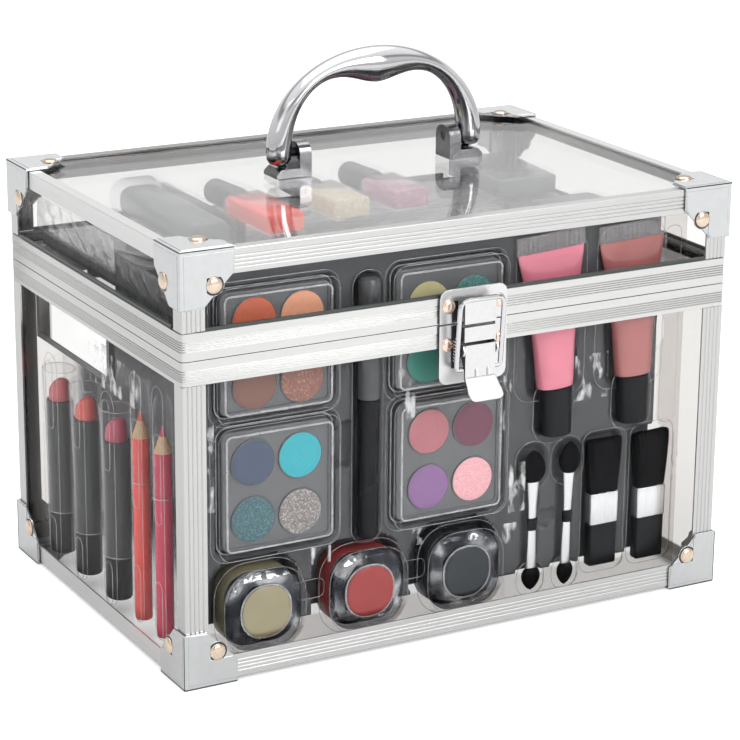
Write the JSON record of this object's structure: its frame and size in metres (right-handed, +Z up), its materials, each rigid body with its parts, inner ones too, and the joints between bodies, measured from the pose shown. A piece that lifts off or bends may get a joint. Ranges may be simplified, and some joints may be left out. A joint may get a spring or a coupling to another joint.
{
  "type": "makeup train case",
  "caption": "Clear box with a ribbed aluminium frame, a hinged lid, an arched carrying handle, a toggle latch and display trays inside.",
  "frame": {"origin": "on the surface the case stands on, under the middle of the whole object's box at rest", "axes": "+X along the case's width to the right as seen from the latch, +Y from the latch towards the hinges, +Z up"},
  "size_m": [0.2828, 0.2138, 0.2523],
  "materials": {
    "acrylic": "clear polished sheet",
    "aluminium": "satin ribbed extrusion",
    "nickel": "bright pressed sheet",
    "chrome": "mirror polished",
    "grey_plastic": "smooth satin vacuum-formed sheet",
    "clear_film": "clear vacuum-formed sheet",
    "mirror": "silvered"
  },
  "bodies": {
    "base": {"base_back_panel": "acrylic", "base_bottom_rail_back": "aluminium", "base_bottom_rail_front": "aluminium", "base_bottom_rail_left": "aluminium", "base_bottom_rail_right": "aluminium", "base_cap_back_left": "nickel", "base_cap_back_right": "nickel", "base_cap_front_left": "nickel", "base_cap_front_right": "nickel", "base_floor_panel": "acrylic", "base_front_panel": "acrylic", "base_left_panel": "acrylic", "base_post_back_left": "aluminium", "base_post_back_right": "aluminium", "base_post_front_left": "aluminium", "base_post_front_right": "aluminium", "base_right_panel": "acrylic", "base_rim": "aluminium", "front_tray": "grey_plastic", "front_tray_cover": "clear_film", "hinge_left_base_leaf": "nickel", "hinge_left_pin": "nickel", "hinge_right_base_leaf": "nickel", "hinge_right_pin": "nickel", "latch_base_plate": "chrome", "latch_pin": "chrome", "mirror_frame": "grey_plastic", "mirror_glass": "mirror", "side_tray": "clear_film", "side_tray_cover": "clear_film"},
    "lid": {"handle_bracket_left": "chrome", "handle_bracket_right": "chrome", "handle_pin_left": "chrome", "handle_pin_right": "chrome", "hinge_left_lid_leaf": "nickel", "hinge_right_lid_leaf": "nickel", "latch_keeper": "chrome", "lid_back_panel": "acrylic", "lid_cap_back_left": "nickel", "lid_cap_back_right": "nickel", "lid_cap_front_left": "nickel", "lid_cap_front_right": "nickel", "lid_front_panel": "acrylic", "lid_left_panel": "acrylic", "lid_post_back_left": "aluminium", "lid_post_back_right": "aluminium", "lid_post_front_left": "aluminium", "lid_post_front_right": "aluminium", "lid_right_panel": "acrylic", "lid_rim": "aluminium", "lid_top_panel": "acrylic", "lid_top_rail_back": "aluminium", "lid_top_rail_front": "aluminium", "lid_top_rail_left": "aluminium", "lid_top_rail_right": "aluminium", "lid_tray": "clear_film", "lid_tray_cover": "clear_film"},
    "handle": {"handle_grip": "chrome"},
    "lever": {"latch_lever": "chrome"},
    "loop": {"latch_loop": "chrome"}
  },
  "joints": [
    {"name": "lid_hinge", "type": "hinge", "parent": "base", "child": "lid", "pos_m": [0, 0.1045, 0.149], "axis": [-1, 0, 0], "range_deg": [0, 100]},
    {"name": "handle_swing", "type": "hinge", "parent": "lid", "child": "handle", "pos_m": [0.0145, 0.0209, 0.2055], "axis": [1, 0, 0], "range_deg": [-85, 85]},
    {"name": "latch_lever_hinge", "type": "hinge", "parent": "base", "child": "lever", "pos_m": [0.002, -0.0976, 0.1378], "axis": [-1, 0, 0], "range_deg": [0, 100]},
    {"name": "latch_loop_hinge", "type": "hinge", "parent": "lever", "child": "loop", "pos_m": [0.002, -0.0983, 0.129], "axis": [-1, 0, 0], "range_deg": [-125, 0]}
  ],
  "couplings": [
    {"joint": "latch_loop_hinge", "follows": "latch_lever_hinge", "ratio": -1.25}
  ]
}
